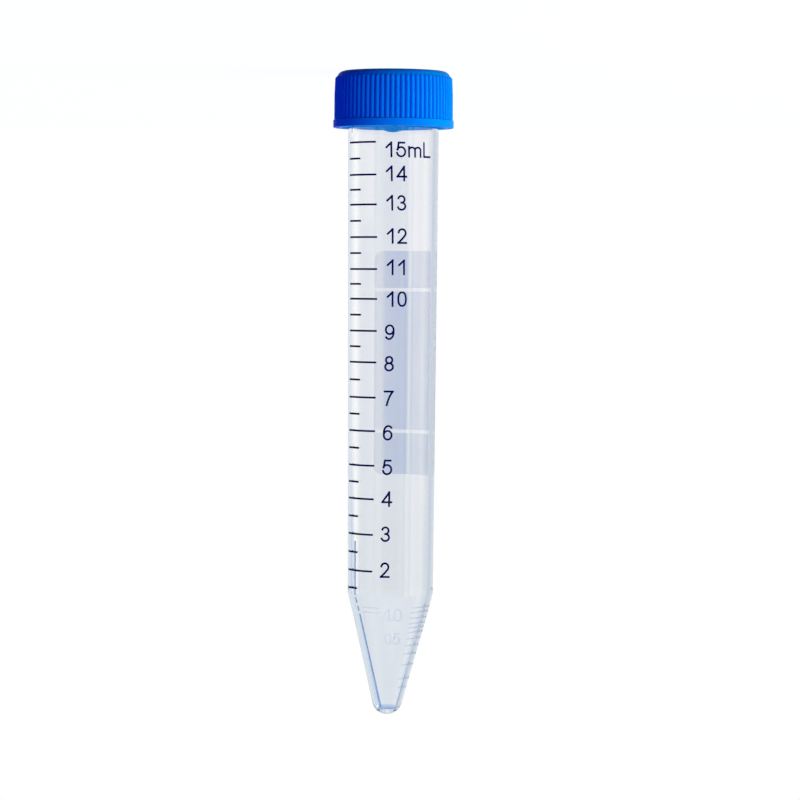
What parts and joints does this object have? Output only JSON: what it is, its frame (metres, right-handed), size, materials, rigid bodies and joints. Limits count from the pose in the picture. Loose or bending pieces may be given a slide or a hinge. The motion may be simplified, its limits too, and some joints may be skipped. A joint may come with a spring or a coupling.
{
  "type": "15 ml conical tube",
  "caption": "Clear plastic tube with a conical end, a printed volume scale and a ribbed blue screw cap, stood upside down on the cap.",
  "frame": {"origin": "centre of the cap's flat top, which the tube stands on", "axes": "+Z along the tube's axis, from the cap to the conical tip; -Y through the middle of the printed numbers"},
  "size_m": [0.0224, 0.0224, 0.12],
  "materials": {
    "cap_plastic": "satin",
    "tube_plastic": "gloss",
    "scale_ink": "satin",
    "patch_ink": "matte"
  },
  "bodies": {
    "cap": {"cap": "cap_plastic"},
    "tube": {"tube": "tube_plastic"}
  },
  "joints": [
    {"name": "tube_lift", "type": "slide", "parent": "cap", "child": "tube", "axis": [0, 0, 1], "range_m": [0, 0.02]}
  ]
}
